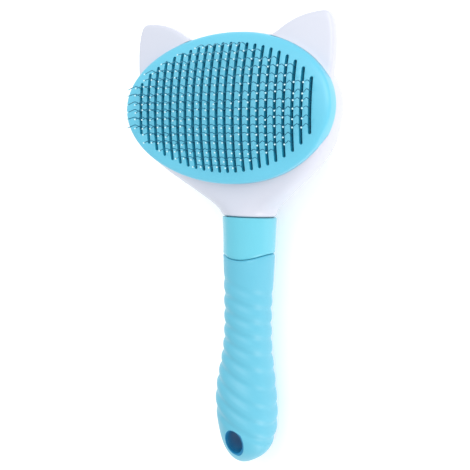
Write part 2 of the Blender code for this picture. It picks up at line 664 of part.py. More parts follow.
def sleeve_stations():
    places = [SLEEVE_Y - 6 * MM, RIDGE_FIRST + 2 * MM]
    count = round((RIDGE_FIRST - RIDGE_LAST) / RIDGE_PITCH)
    for i in range(count):
        places += [RIDGE_FIRST - (i + part) * RIDGE_PITCH for part in (0.0, 0.25, 0.75)]
    return places + [RIDGE_LAST] + [place * MM for place in SLEEVE_END_PLACES]


def hang_hole(name, parent):
    hole = prism(oval(HANG_HOLE_X_R, HANG_HOLE_Y_R, 20, (0.0, HANG_HOLE_Y)), -70 * MM, 0.0)
    return helper(name, hole, parent)


def make_handle(core_look, sleeve_look, parent):
    sides = 16
    inner_places = [place * MM for place in SLEEVE_INNER_PLACES]
    rings = [[(0.0, HANDLE_END, handle_middle(HANDLE_END))] * sides]
    rings += [handle_ring(y, 0.0, sides, ridged=True) for y in reversed(sleeve_stations())]
    rings += [handle_ring(SLEEVE_Y, inset, sides, lip=True) for inset in (0.0, SLEEVE_COVER)]
    rings += [handle_ring(y, SLEEVE_COVER, sides) for y in inner_places]
    sleeve = to_object("grip_sleeve", loft(rings), sleeve_look, parent)
    combine(sleeve, hang_hole("sleeve_hang_hole", parent))
    core_in = SLEEVE_COVER + GAP
    collar_low = SLEEVE_Y + GAP
    outer = [handle_ring(y, 0.0, sides) for y in (NECK_Y - GAP, -52 * MM, -57 * MM)]
    outer.append(handle_ring(collar_low, 0.0, sides, lip=True))
    inside = [handle_ring(collar_low, core_in, sides, lip=True)]
    inside += [handle_ring(y, core_in, sides) for y in inner_places[:-1]]
    inside.append(handle_ring(inner_places[-1] + GAP, core_in, sides))
    core = to_object("handle_core", loft(outer + inside), core_look, parent)
    tenon_r = NECK_R - WALL - 2.5 * GAP
    tenon_ring = [(x, NECK_Z + z) for x, z in oval(tenon_r, tenon_r, sides)]
    tenon = loft([[(x, y, z) for x, z in tenon_ring] for y in (-50 * MM, -38.0 * MM)])
    combine(core, helper("handle_tenon", tenon, parent), "UNION")
    boss_hole = disc(3.9 * MM, -60 * MM, 0.0, (0.0, NECK_SCREW_Y), 14)
    combine(core, helper("tenon_hole", boss_hole, parent))
    combine(core, hang_hole("core_hang_hole", parent))


# --- The whole brush -------------------------------------------------------------------------------


def build():
    clear_scene()
    blue = material("blue_plastic", (0.19, 0.66, 0.87), 0.35)
    soft_blue = material("blue_soft_grip", (0.14, 0.60, 0.83), 0.6)
    white = material("white_plastic", (0.86, 0.87, 0.92), 0.3)
    dark_blue = material("pin_base_plastic", (0.02, 0.22, 0.38), 0.5)
    inner = material("inner_plastic", (0.7, 0.72, 0.75), 0.5)
    steel = material("steel", (0.55, 0.57, 0.6), 0.3, 1.0)

    face = empty("face_frame", (0.0, FACE_Y, FACE_Z))
    push_axis = empty("push_axis", (0.0, 0.0, 0.0), face)

    make_front_shell(white, face)
    make_rear_shell(white, face)
    make_pins(steel, dark_blue, face)
    make_backing_plate(inner, face)
    for number, at in enumerate(screw_places(PIN_SCREW_AT)):
        make_screw(f"pin_plate_screw_{number + 1}", at, LEDGE_BASE - 1.7 * MM, -6.2 * MM, steel, face)
    y = SHELL_SCREW_AT[1]
    for number, x in enumerate((-SHELL_SCREW_AT[0], SHELL_SCREW_AT[0])):
        make_screw(f"shell_screw_{number + 1}", (x, y), PARTING_Z - 3.6 * MM, -13.2 * MM, steel, face)
    make_screw("neck_screw", (0.0, NECK_SCREW_Y), -40.4 * MM, -19.0 * MM, steel, face)
    for number, side in enumerate((-1, 1)):
        coil = spring_mesh((side * SPRING_X, 0.0), CUP_FLOOR + GAP, BACKING_BASE - GAP)
        to_object(f"return_spring_{number + 1}", coil, steel, face)
    make_handle(blue, soft_blue, face)

    make_push_plate(blue, push_axis)
    make_carrier(inner, push_axis)
    make_button(blue, push_axis)
    make_screw("button_screw", (0.0, 0.0), -18.4 * MM, -35.8 * MM, steel, push_axis)


build()
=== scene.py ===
"""Looks for the self-cleaning cat-ear slicker brush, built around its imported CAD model.

Shapes are written in millimetres in the frame of the pin face: its origin is the crown of the slotted
plate, +X runs across the head, +Y away from the handle and +Z out of the face. The plate's CAD box says
where that frame stands, and new_object moves each finished mesh there.
"""

import math

import bmesh
import bpy
import numpy as np
from mathutils import Matrix, Vector


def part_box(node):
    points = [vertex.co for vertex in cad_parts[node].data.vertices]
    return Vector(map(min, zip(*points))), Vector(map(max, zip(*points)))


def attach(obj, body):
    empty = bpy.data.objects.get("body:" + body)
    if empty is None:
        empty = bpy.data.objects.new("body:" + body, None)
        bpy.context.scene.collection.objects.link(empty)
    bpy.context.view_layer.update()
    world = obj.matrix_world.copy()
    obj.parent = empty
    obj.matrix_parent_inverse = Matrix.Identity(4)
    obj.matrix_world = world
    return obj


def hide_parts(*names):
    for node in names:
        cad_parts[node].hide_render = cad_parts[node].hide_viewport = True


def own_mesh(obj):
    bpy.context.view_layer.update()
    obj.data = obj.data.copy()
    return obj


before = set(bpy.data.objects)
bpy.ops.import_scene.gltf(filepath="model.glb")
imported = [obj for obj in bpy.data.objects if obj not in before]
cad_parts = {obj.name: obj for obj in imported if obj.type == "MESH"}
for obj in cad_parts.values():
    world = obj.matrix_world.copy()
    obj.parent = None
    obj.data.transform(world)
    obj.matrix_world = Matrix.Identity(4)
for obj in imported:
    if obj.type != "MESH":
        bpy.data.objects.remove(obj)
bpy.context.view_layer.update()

MM = 0.001
HEAD, PUSH = "head", "push_unit"
PLATE_LOW, PLATE_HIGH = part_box("hair_push_plate")
FACE = Vector((0.0, (PLATE_LOW.y + PLATE_HIGH.y) / 2, PLATE_HIGH.z))
GAP = 0.3

# Slotted plate. Its face falls by BARREL times the square of the way along the brush from its crown.
BARREL = 0.0058
PLATE_X, PLATE_Y = 50.0, 32.3
PLATE_THICK, PLATE_EDGE, PLATE_EDGE_DROP = 2.2, 2.8, 1.4
SKIRT_DEPTH, SKIRT_WALL, SKIRT_FILLET = 6.28, 2.4, 0.6
SKIRT_OUTER_ROUND, SKIRT_INNER_ROUND = 0.08, 0.3
SLOT_PITCH, SLOT_COUNT, SLOT_WIDTH, SLOT_ROUND = 3.94, 22, 1.42, 0.1
SLOT_FIELD_X, SLOT_FIELD_Y, SLOT_POWER = 45.8, 27.6, 1.94

# Pins. A wire's base, foot, knee and tip are (run along the brush, rise above the face).
PINS_IN_ROWS = (6, 10, 12, 14, 16, 16, 16, 14, 12, 10, 6)
PIN_PITCH = 3.38
PIN_BASE, PIN_FOOT, PIN_KNEE, PIN_TIP = (-0.5, -8.4), (-0.5, -3.4), (1.15, 3.6), (-0.55, 7.95)
WIRE_R, BEAD_R, KNEE_BEND = 0.19, 0.38, 0.8
# How far a tip stands aside for each millimetre between its slot and the place where pins stand upright.
PIN_SPLAY, PIN_UPRIGHT_X = 0.018, 26.0
# How unevenly the tips stand across, along and up, and how far they wander along in a slow wave.
PIN_SEED, SPREAD_X, SPREAD_Y, SPREAD_Z = 7, 0.14, 0.16, 0.12
WAVE_Y, WAVE_STEP, WAVE_SHIFT = 0.5, 1.9, 0.35
PIN_PLATE_X, PIN_PLATE_Y, PIN_PLATE_TOP, PIN_PLATE_BASE = 46.0, 28.2, -3.2, -8.6

# Head.
HEAD_X, HEAD_TOP_Y, NECK_Y = 49.6, 33.0, -46.8
HEAD_WIDEST_Z, HEAD_FRONT_Z, HEAD_BACK_Z, WALL, RIM_DROP = -12.5, 1.0, -38.0, 1.7, 6.3
# The outline's powers: 2 is an oval, and more is squarer.
ROUND_POWER, SQUARE_POWER, TOP_POWER = 2.0, 4.6, 2.3
NECK_Z, NECK_R, NECK_BLEND, NECK_SCREW_Y = -28.5, 12.4, 20.0, -41.0
EAR_FRONT, EAR_BACK, EAR_ROUND = -6.0, -11.2, 0.6
MELT_VOXEL, MELT_ROUNDS = ((0.5, 24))
PARTING_Z, PARTING_GAP, SEAT_GAP = -22.0, 0.08, 0.04
PARTING_LINE = ((-60.0, -35.0), (-45.0, -35.0), (-15.0, PARTING_Z), (60.0, PARTING_Z))
SHELL_SCREW_AT, PIN_SCREW_AT = (22.0, 19.0), (37.0, 13.2)
POST_R, POST_HOLE_R, POST_SINK_R, POST_SINK_FLOOR = 3.6, 1.5, 2.6, 1.9
POST_BASE, NECK_POST_TOP = -44.0, -36.2
LEDGE_X, LEDGE_Y, LEDGE_HOLE_X, LEDGE_HOLE_Y = 48.4, 31.0, 45.4, 27.2
LEDGE_TOP, LEDGE_BASE = -10.4, -12.2
# Each lug's edges, as shares of its screw's place.
LUG_X, LUG_Y = (0.9, 1.16), (0.72, 1.35)

# Push mechanism.
CARRIER_BASE = -19.9
LEG_IN, LEG_OUT, LEG_HALF, LEG_TOP, LEG_BASE = 43.2, 44.3, 3.5, -1.0, CARRIER_BASE - 0.5
HOOK_REACH, HOOK_LAP, HOOK_TOP, HOOK_BASE = 1.8, 0.4, CARRIER_BASE - GAP, CARRIER_BASE - 1.9
SPRING_X, SPRING_R, SPRING_WIRE, SPRING_TURNS = 24.0, 3.4, 0.4, 6
SPRING_LOW, SPRING_HIGH, SPRING_END = -27.7, -10.4, 0.12
BUTTON_R, BUTTON_FACE, BUTTON_WALL, TRAVEL = 15.5, -47.3, 2.0, 7.5
BUTTON_FLAT_R, BUTTON_ROUND = 13.6, 1.9
FLANGE, FLANGE_BASE, FLANGE_HIGH = 1.8, -32.6, 1.6
BUTTON_POST_R, BUTTON_BORE_R, BUTTON_POST_TOP, BUTTON_BORE_FLOOR = 5.0, 1.5, -28.3, -37.0
# The dish in the button's face, as (radius, depth).
BUTTON_DISH = ((0.0, 0.7), (4.0, 0.65), (8.0, 0.5), (11.0, 0.22), (12.4, 0.05), (13.0, 0.0))

# Screws, as the heights of their heads' outer ends and of their tips.
PIN_SCREW, SHELL_SCREW = (-13.9, -6.2), (-25.6, -13.2)
NECK_SCREW, BUTTON_SCREW = (-40.4, -19.0), (-18.4, -35.8)
SCREW_HEAD_R, SCREW_SHANK_R, SCREW_HEAD_HIGH, SCREW_CROWN = 2.2, 1.2, 1.4, 0.9
RECESS_LONG, RECESS_WIDE = 1.25, 0.3

# Handle.
SLEEVE_Y, HANDLE_END, HANDLE_ROUND_Y = -63.5, -161.1, -136.0
# How its width, front and back close at its end, as the two powers of a curve.
END_WIDTH, END_FRONT, END_BACK = (2.0, 0.54), (1.8, 0.62), (1.7, 0.66)
HANG_HOLE_Y, HANG_HOLE_X_R, HANG_HOLE_Y_R = -149.8, 4.3, 5.5
# The hang hole's rounded edge: how much wider it is, and how far out of the handle's surface.
HANG_HOLE_EDGE = ((0.0, -1.3), (0.1, -0.8), (0.35, -0.35), (0.75, -0.06), (1.5, 0.3))
RIDGE_PITCH, RIDGE_DEPTH, RIDGE_FIRST, RIDGE_LAST = 7.0, 0.65, -78.7, -141.7
RIDGE_START, VALLEY_POWER = 0.35, 1.5
# The sleeve's wall, and how the sleeve meets the collar.
COVER = 2.2
SEAM_DIP, SEAM_GAP = 2.8, 0.04
# The sleeve's and the collar's rounded edges at their seam: how far from it, and how far under the surface.
SEAM_ROUND = ((0.0, 1.0), (0.22, 0.5), (0.45, 0.2), (0.8, 0.0))
SLEEVE_INNER_PLACES = (-75.0, -90.0, -105.0, -120.0, -132.0, -144.0, -151.0, -156.5)
# The collar's end at the head: how far from the neck, and its edge as (way down the handle, inset).
NECK_GAP, NECK_EDGE = 0.35, ((0.15, 0.1), (0.0, 0.4), (0.0, 3.0))
COLLAR_FADE, TENON_Y = 12.0, (-50.0, -38.0)

# Camera, placed in the frame of the pin face, and floor.
CAMERA_AT, LENS, SENSOR = (176.23, -28.04, 290.60), 61.28, 36.0
CAMERA_RIGHT, CAMERA_UP = (0.86531, 0.02719, -0.50050), (-0.06135, 0.99676, -0.05193)
FLOOR_HALF, FLOOR_DROP = 30.0, 0.0002

# (place along the brush, size) pairs, in order along the brush.
HEAD_WIDTH = (
    (-46.8, 12.4), (-45.0, 12.6), (-43.0, 13.9), (-40.0, 17.6), (-36.0, 22.8), (-31.3, 29.2),
    (-26.0, 36.4), (-20.0, 42.3), (-12.0, 47.3), (0.0, 49.6),
)
HEAD_FRONT = (
    (-46.8, -16.1), (-42.0, -15.3), (-37.0, -13.9), (-33.0, -12.0), (-27.0, -8.0), (-18.0, -2.0),
    (0.0, 1.0),
)
HEAD_MIDDLE = (
    (-46.8, -28.5), (-42.0, -26.5), (-37.0, -23.5), (-32.0, -20.0), (-25.0, -16.5), (-12.0, -13.3),
    (0.0, -12.5),
)
HEAD_BACK = ((-46.8, -40.9), (-40.0, -40.5), (-25.0, -39.3), (0.0, -38.0))
HANDLE_WIDTH = (
    (-136.0, 14.75), (-132.0, 14.6), (-128.0, 14.2), (-120.0, 12.85), (-112.0, 11.7), (-104.0, 11.05),
    (-94.0, 11.0), (-80.0, 11.3), (-66.0, 11.8), (-58.0, 11.95), (-46.8, 12.4),
)
HANDLE_FRONT = (
    (-136.0, 13.65), (-128.0, 13.5), (-120.0, 12.4), (-112.0, 11.45), (-104.0, 10.95), (-94.0, 10.9),
    (-80.0, 11.2), (-66.0, 11.75), (-58.0, 11.9), (-46.8, 12.4),
)
HANDLE_BACK = (
    (-136.0, 17.1), (-128.0, 16.5), (-120.0, 15.0), (-112.0, 13.4), (-104.0, 12.2), (-94.0, 11.5),
    (-80.0, 11.2), (-66.0, 11.75), (-58.0, 11.9), (-46.8, 12.4),
)
HANDLE_MIDDLE = (
    (-161.1, -27.8), (-156.5, -27.9), (-153.0, -28.1), (-149.0, -28.6), (-144.5, -29.3), (-136.0, -30.1),
    (-128.0, -30.7), (-120.0, -31.2), (-112.0, -30.8), (-104.0, -30.2), (-94.0, -29.6), (-80.0, -29.05),
    (-66.0, -29.0), (-58.0, -28.95), (-46.8, -28.5),
)
# How steeply the sleeve's ridges run across it.
RIDGE_SLOPE = (
    (-161.1, 0.0), (-150.0, 0.38), (-141.0, 0.52), (-130.0, 0.53), (-120.0, 0.50), (-108.0, 0.42),
    (-95.0, 0.36), (-76.0, 0.35), (-63.5, 0.0),
)
# The ear at +X, as points on its outline.
EAR_OUTLINE = (
    (15.0, 26.5), (21.8, 31.2), (27.3, 34.6), (33.4, 37.0), (39.0, 38.06), (43.6, 38.22), (45.6, 37.15),
    (46.9, 34.0), (47.7, 29.5), (48.0, 24.0), (47.7, 18.0), (47.1, 13.0), (46.4, 9.5), (42.0, 6.0),
    (30.0, 12.0),
)


# --- Meshes ----------------------------------------------------------------------------------------


def new_object(name, mesh_edit):
    """Ends a bmesh in face-frame millimetres as an object in the row frame, with its faces pointing out."""
    bmesh.ops.remove_doubles(mesh_edit, verts=mesh_edit.verts, dist=0.002)
    bmesh.ops.recalc_face_normals(mesh_edit, faces=mesh_edit.faces)
    if mesh_edit.calc_volume(signed=True) < 0:
        bmesh.ops.reverse_faces(mesh_edit, faces=mesh_edit.faces)
    mesh = bpy.data.meshes.new(name)
    mesh_edit.to_mesh(mesh)
    mesh_edit.free()
    mesh.transform(Matrix.Translation(FACE) @ Matrix.Scale(MM, 4))
    made = bpy.data.objects.new(name, mesh)
    bpy.context.scene.collection.objects.link(made)
    return made


def settle(obj):
    """Applies the object's modifiers to its mesh."""
    bpy.context.view_layer.update()
    graph = bpy.context.evaluated_depsgraph_get()
    mesh = bpy.data.meshes.new_from_object(obj.evaluated_get(graph))
    obj.modifiers.clear()
    obj.data = mesh


def combine(target, tools, operation="DIFFERENCE"):
    """Cuts the tools from the target, or joins them to it, and removes them."""
    for tool in tools:
        step = target.modifiers.new(tool.name, "BOOLEAN")
        step.operation = operation
        step.solver = "EXACT"
        step.object = tool
    settle(target)
    for tool in tools:
        bpy.data.objects.remove(tool)


def give_looks(obj, looks):
    """Adds the materials in order, so that a cutter's and its target's slots agree."""
    for look in looks:
        obj.data.materials.append(look)


def finish_piece(obj, looks, body, nodes, angle=35.0):
    """Shades a piece smooth up to the angle, hangs it on the body that it rides on and hides the CAD parts
    that it stands for.

    A piece that already has its materials, from its cuts, comes with no looks.
    """
    obj.data.shade_smooth()
    obj.data.set_sharp_from_angle(angle=math.radians(angle))
    give_looks(obj, looks)
    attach(obj, body)
    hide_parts(*nodes)


def flat_line(ring):
    """Whether a ring has shrunk to a line or a point, so that it needs no face to close it."""
    spread = np.array(ring, float) - np.mean(ring, axis=0)
    return np.linalg.svd(spread, compute_uv=False)[1] < 1e-6


def add_loft(made, rings):
    """Adds a tube through rings of points, with both its ends closed."""
    grid = [[made.verts.new(point) for point in ring] for ring in rings]
    count = len(rings[0])
    for ring, following in zip(grid, grid[1:]):
        for i in range(count):
            j = (i + 1) % count
            made.faces.new((ring[i], ring[j], following[j], following[i]))
    for ring, corners in ((rings[0], grid[0]), (rings[-1], grid[-1][::-1])):
        if not flat_line(ring):
            made.faces.new(corners)


def loft(name, rings):
    made = bmesh.new()
    add_loft(made, rings)
    return new_object(name, made)


def whole_turn(count):
    """Evenly spaced angles once round."""
    return np.linspace(0.0, 2 * math.pi, count, endpoint=False)


def oval(x_radius, y_radius, count, at=(0.0, 0.0)):
    turn = whole_turn(count)
    return np.stack([at[0] + x_radius * np.cos(turn), at[1] + y_radius * np.sin(turn)], 1)


def at_height(outline, height):
    return [(x, y, height) for x, y in outline]


def prism(name, outline, low, high):
    return loft(name, [at_height(outline, low), at_height(outline, high)])


def block(name, x_range, y_range, z_range):
    (x0, x1), (y0, y1) = x_range, y_range
    return prism(name, [(x0, y0), (x1, y0), (x1, y1), (x0, y1)], *z_range)


def lathe(name, profile, count, at=(0.0, 0.0)):
    """A round body from (radius, height) points, which start and end on the axis."""
    return loft(name, [at_height(oval(radius, radius, count, at), height) for radius, height in profile])


def rounded(corner, radius, start, end, steps=4):
    """Points round a corner of a profile, from the side that starts it to the side that ends it."""
    centre = np.array(corner) + radius * (np.array(start) + np.array(end))
    points = []
    for i in range(steps + 1):
        turn = math.pi / 2 * i / steps
        outward = math.cos(turn) * np.array(end) + math.sin(turn) * np.array(start)
        points.append(tuple(centre - radius * outward))
    return points


def profile_curve(points, softness=1.5, step=0.1):
    """A smooth curve through (place, size) pairs that keeps its values and slopes at both ends."""
    places, sizes = np.array(points).T
    rates = np.diff(sizes) / np.diff(places)
    slopes = np.concatenate([rates[:1], np.zeros(len(rates) - 1), rates[-1:]])
    for i in range(1, len(rates)):
        before, after = rates[i - 1], rates[i]
        slopes[i] = 0.0 if before * after <= 0 else 2 * before * after / (before + after)
    fine = np.arange(places[0], places[-1] + step / 2, step)
    index = np.clip(np.searchsorted(places, fine, side="right") - 1, 0, len(rates) - 1)
    width = np.diff(places)[index]
    t = (fine - places[index]) / width
    curve = sizes[index] * (2 * t**3 - 3 * t**2 + 1) + sizes[index + 1] * (3 * t**2 - 2 * t**3)
    curve += width * (slopes[index] * (t**3 - 2 * t**2 + t) + slopes[index + 1] * (t**3 - t**2))
    reach = int(4 * softness / step)
    weights = np.exp(-0.5 * (np.arange(-reach, reach + 1) * step / softness) ** 2)
    ahead = 2 * curve[0] - curve[reach:0:-1]
    behind = 2 * curve[-1] - curve[-2:-reach - 2:-1]
    soft = np.convolve(np.concatenate([ahead, curve, behind]), weights / weights.sum(), "valid")
    return lambda place: float(np.interp(place, fine, soft))


def smooth_outline(points, per_side=8):
    """A closed Catmull-Rom curve through the points."""
    corners = np.array(points, float)
    found = []
    for i in range(len(corners)):
        p0, p1, p2, p3 = (corners[(i + k) % len(corners)] for k in (-1, 0, 1, 2))
        for t in np.arange(per_side) / per_side:
            found.append(0.5 * (2 * p1 + (p2 - p0) * t + (2 * p0 - 5 * p1 + 4 * p2 - p3) * t**2
                                + (3 * p1 - p0 - 3 * p2 + p3) * t**3))
    return np.array(found)


def inset_outline(outline, distance):
    """The outline moved inwards by the distance."""
    along = np.roll(outline, -1, 0) - np.roll(outline, 1, 0)
    along /= np.linalg.norm(along, axis=1)[:, None]
    inward = np.stack([-along[:, 1], along[:, 0]], 1)
    x, y = outline.T
    if np.sum(x * np.roll(y, -1) - np.roll(x, -1) * y) < 0:
        inward = -inward
    return outline + distance * inward


def rounded_prism(name, outline, low, high, radius, steps=4):
    """A slab with both its edges rounded."""
    turns = [math.pi / 2 * i / steps for i in range(steps + 1)]
    lower = [(radius * (1 - math.sin(a)), low + radius * (1 - math.cos(a))) for a in turns]
    upper = [(radius * (1 - math.cos(a)), high - radius * (1 - math.sin(a))) for a in turns]
    return loft(name, [at_height(inset_outline(outline, inset), height) for inset, height in lower + upper])


def melt(obj, voxel, rounds):
    """Runs overlapping solids into one, with soft inner corners where they meet."""
    remesh = obj.modifiers.new("remesh", "REMESH")
    remesh.mode = "VOXEL"
    remesh.voxel_size = voxel * MM
    relax = obj.modifiers.new("relax", "SMOOTH")
    relax.factor = 0.5
    relax.iterations = rounds
    settle(obj)


def sweep(made, path, radius, sides, across):
    """Adds a round wire along a path. across is a direction that the path never runs in."""
    path = np.array(path, float)
    along = np.gradient(path, axis=0)
    along /= np.linalg.norm(along, axis=1)[:, None]
    side = np.cross(along, across)
    side /= np.linalg.norm(side, axis=1)[:, None]
    other = np.cross(side, along)
    turn = whole_turn(sides)
    rings = path[:, None] + radius * (side[:, None] * np.cos(turn)[None, :, None]
                                      + other[:, None] * np.sin(turn)[None, :, None])
    add_loft(made, rings)


# --- Materials -------------------------------------------------------------------------------------


class Look:
    """A Principled material whose colour, roughness and surface come from noise in the piece's own space."""

    def __init__(self, name, roughness, metallic=0.0, coat=0.0, coat_roughness=0.25):
        self.material = bpy.data.materials.new(name)
        self.material.use_nodes = True
        self.tree = self.material.node_tree
        self.shader = self.tree.nodes["Principled BSDF"]
        self.place = self.tree.nodes.new("ShaderNodeTexCoord").outputs["Object"]
        self.set("Roughness", roughness)
        self.set("Metallic", metallic)
        self.set("Coat Weight", coat)
        self.set("Coat Roughness", coat_roughness)

    def set(self, name, value):
        self.shader.inputs[name].default_value = value

    def link(self, output, node_input):
        self.tree.links.new(output, node_input)

    def noise(self, size_mm, detail, stretch=(1.0, 1.0, 1.0)):
        """Noise with features of this size, in millimetres."""
        spread = self.tree.nodes.new("ShaderNodeMapping")
        spread.inputs["Scale"].default_value = stretch
        self.link(self.place, spread.inputs["Vector"])
        made = self.tree.nodes.new("ShaderNodeTexNoise")
        made.inputs["Scale"].default_value = 1.0 / (size_mm * MM)
        made.inputs["Detail"].default_value = detail
        self.link(spread.outputs["Vector"], made.inputs["Vector"])
        return made.outputs["Fac"]

    def spread(self, value, low, high):
        """Maps a noise, which keeps to the middle of its range, to the range from low to high."""
        made = self.tree.nodes.new("ShaderNodeMapRange")
        made.inputs["From Min"].default_value = 0.15
        made.inputs["From Max"].default_value = 0.85
        made.inputs["To Min"].default_value = low
        made.inputs["To Max"].default_value = high
        self.link(value, made.inputs["Value"])
        return made.outputs["Result"]

    def colours(self, value, low, high):
        """Mixes two colours by a value from 0 to 1."""
        made = self.tree.nodes.new("ShaderNodeMix")
        made.data_type = "RGBA"
        factor, first, second = made.inputs[0], made.inputs[6], made.inputs[7]
        first.default_value = (*low, 1.0)
        second.default_value = (*high, 1.0)
        self.link(value, factor)
        return made.outputs[2]

    def paint(self, low, high, size_mm):
        """Colours the surface with patches of this size, between two colours."""
        patches = self.spread(self.noise(size_mm, 3.0), 0.0, 1.0)
        self.link(self.colours(patches, low, high), self.shader.inputs["Base Color"])

    def vary_roughness(self, low, high, size_mm):
        self.link(self.spread(self.noise(size_mm, 3.0), low, high), self.shader.inputs["Roughness"])

    def bumps(self, *layers):
        """Layers of (value, depth in millimetres), each on top of the last."""
        normal = None
        for value, depth_mm in layers:
            made = self.tree.nodes.new("ShaderNodeBump")
            made.inputs["Distance"].default_value = depth_mm * MM
            self.link(value, made.inputs["Height"])
            if normal:
                self.link(normal, made.inputs["Normal"])
            normal = made.outputs["Normal"]
        self.link(normal, self.shader.inputs["Normal"])


def moulded_plastic(name, low, high, roughness, coat=0.1):
    """Moulded plastic: a faint flow in its colour and sheen, shallow sinks and a spark-eroded grain."""
    flow_mm, sheen_mm, sink_mm, grain_mm = 26.0, 9.0, 18.0, 0.7
    sheen, sink_depth, grain_depth = 0.03, 0.012, 0.0022
    look = Look(name, roughness, coat=coat)
    look.paint(low, high, flow_mm)
    look.vary_roughness(roughness - sheen, roughness + sheen, sheen_mm)
    look.bumps((look.noise(sink_mm, 0.0), sink_depth), (look.noise(grain_mm, 0.0), grain_depth))
    return look.material


def soft_rubber():
    """The sleeve's soft moulded rubber: matt, with gentle unevenness, a fine grain and a faint bloom."""
    bloom_mm, sheen_mm, wave_mm, grain_mm = 14.0, 5.0, 7.0, 0.35
    wave_depth, grain_depth = 0.04, 0.010
    look = Look("soft_grip_rubber", 0.42, coat=0.5, coat_roughness=0.5)
    look.paint((0.115, 0.485, 0.64), (0.13, 0.51, 0.67), bloom_mm)
    look.vary_roughness(0.38, 0.48, sheen_mm)
    look.bumps((look.noise(wave_mm, 2.0), wave_depth), (look.noise(grain_mm, 1.0), grain_depth))
    return look.material


def drawn_steel(name, low, high, roughness):
    """Bright drawn wire or plated steel, with fine marks that run up it."""
    tint_mm, wear_mm, mark_mm, mark_depth = 1.6, 0.9, 0.25, 0.004
    look = Look(name, roughness, metallic=1.0)
    look.paint(low, high, tint_mm)
    look.vary_roughness(roughness - 0.06, roughness + 0.1, wear_mm)
    look.bumps((look.noise(mark_mm, 2.0, (1.0, 1.0, 0.15)), mark_depth))
    return look.material


def floor_paper():
    """Plain white paper, with a faint glow that keeps it white all round."""
    cloud_mm, tooth_mm, tooth_depth = 180.0, 2.0, 0.01
    look = Look("studio_floor", 0.85)
    look.paint((0.88, 0.88, 0.885), (0.90, 0.90, 0.905), cloud_mm)
    look.set("Emission Color", (1.0, 1.0, 1.0, 1.0))
    look.set("Emission Strength", 0.3)
    look.bumps((look.noise(tooth_mm, 2.0), tooth_depth))
    return look.material


PLATE_LOOK = moulded_plastic("sky_blue_plastic", (0.135, 0.55, 0.73), (0.15, 0.575, 0.76), 0.34)
COLLAR_LOOK = moulded_plastic("handle_blue_plastic", (0.13, 0.55, 0.68), (0.145, 0.57, 0.71), 0.36, 0.5)
# Painted shade: the slot walls are a darker teal that stands for the shade deep inside the narrow slots.
SLOT_SHADE_LOOK = moulded_plastic("slot_wall_painted_shade", (0.03, 0.38, 0.55), (0.035, 0.41, 0.59), 0.5, 0.0)
BASE_LOOK = moulded_plastic("deep_teal_plastic", (0.02, 0.27, 0.42), (0.025, 0.30, 0.46), 0.5, 0.0)
WHITE_LOOK = moulded_plastic("white_plastic", (0.665, 0.66, 0.745), (0.675, 0.67, 0.755), 0.30, 0.2)
INNER_LOOK = moulded_plastic("inner_plastic", (0.60, 0.63, 0.68), (0.66, 0.69, 0.74), 0.5, 0.0)
GRIP_LOOK = soft_rubber()
# Painted shade: the hang hole's walls are a dark blue that stands for the shade inside the hole.
HOLE_SHADE_LOOK = moulded_plastic("hang_hole_painted_shade", (0.005, 0.20, 0.42), (0.008, 0.23, 0.46), 0.5, 0.0)
WIRE_LOOK = drawn_steel("pin_steel", (0.10, 0.30, 0.40), (0.17, 0.40, 0.50), 0.34)
BEAD_LOOK = moulded_plastic("pin_bead", (0.55, 0.86, 0.93), (0.62, 0.90, 0.96), 0.18, 0.5)
SCREW_LOOK = drawn_steel("screw_steel", (0.42, 0.43, 0.45), (0.55, 0.56, 0.58), 0.3)
SPRING_LOOK = drawn_steel("spring_steel", (0.40, 0.41, 0.43), (0.52, 0.53, 0.55), 0.28)


# --- Slotted plate ---------------------------------------------------------------------------------


def barrel(y):
    """How far the curved face stands from its crown at this place along the brush."""
    return -BARREL * y * y


def oval_ring(half_x, half_y, inset, height, count):
    """A ring on a curved oval, moved in by the inset, at a height above the curved face."""
    return [(x, y, height + barrel(y)) for x, y in oval(half_x - inset, half_y - inset, count)]


def slot_columns():
    return [(i - (SLOT_COUNT - 1) / 2) * SLOT_PITCH for i in range(SLOT_COUNT)]


def slot_half_length(x):
    return SLOT_FIELD_Y * (1 - abs(x / SLOT_FIELD_X) ** SLOT_POWER) ** (1 / SLOT_POWER)


def slot_ring(x, spread, height, follow=True):
    """The outline of a slot, widened by spread, at a height above the curved face."""
    straight = slot_half_length(x) - SLOT_WIDTH / 2
    radius = SLOT_WIDTH / 2 + spread
    places = np.linspace(-straight, straight, 16)
    turns = np.linspace(0, math.pi, 9)[:-1]
    points = [(x + radius, y) for y in places[:-1]]
    points += [(x + radius * math.cos(a), straight + radius * math.sin(a)) for a in turns]
    points += [(x - radius, y) for y in places[:0:-1]]
    points += [(x - radius * math.cos(a), -straight - radius * math.sin(a)) for a in turns]
    return [(px, py, height + (barrel(py) if follow else 0.0)) for px, py in points]


def slot_cutters(looks):
    """All the slots as one tool. Each flares out as it leaves the face, which rounds its upper edge."""
    made = bmesh.new()
    below, above = -12.0, 3.0
    flare = []
    for turn in (0.0, math.pi / 6, math.pi / 3):
        flare.append((SLOT_ROUND * (1 - math.cos(turn)), -SLOT_ROUND * (1 - math.sin(turn))))
    flare.append((flare[-1][0] + 0.866, flare[-1][1] + 0.5))
    for x in slot_columns():
        rings = [slot_ring(x, 0.0, below, follow=False)]
        rings += [slot_ring(x, spread, height) for spread, height in flare]
        rings.append(slot_ring(x, flare[-1][0], above, follow=False))
        add_loft(made, rings)
    # The slots' walls take the second look, the painted shade of the slots.
    for face in made.faces:
        face.material_index = 1
    cutters = new_object("slot_cutters", made)
    give_looks(cutters, looks)
    return cutters


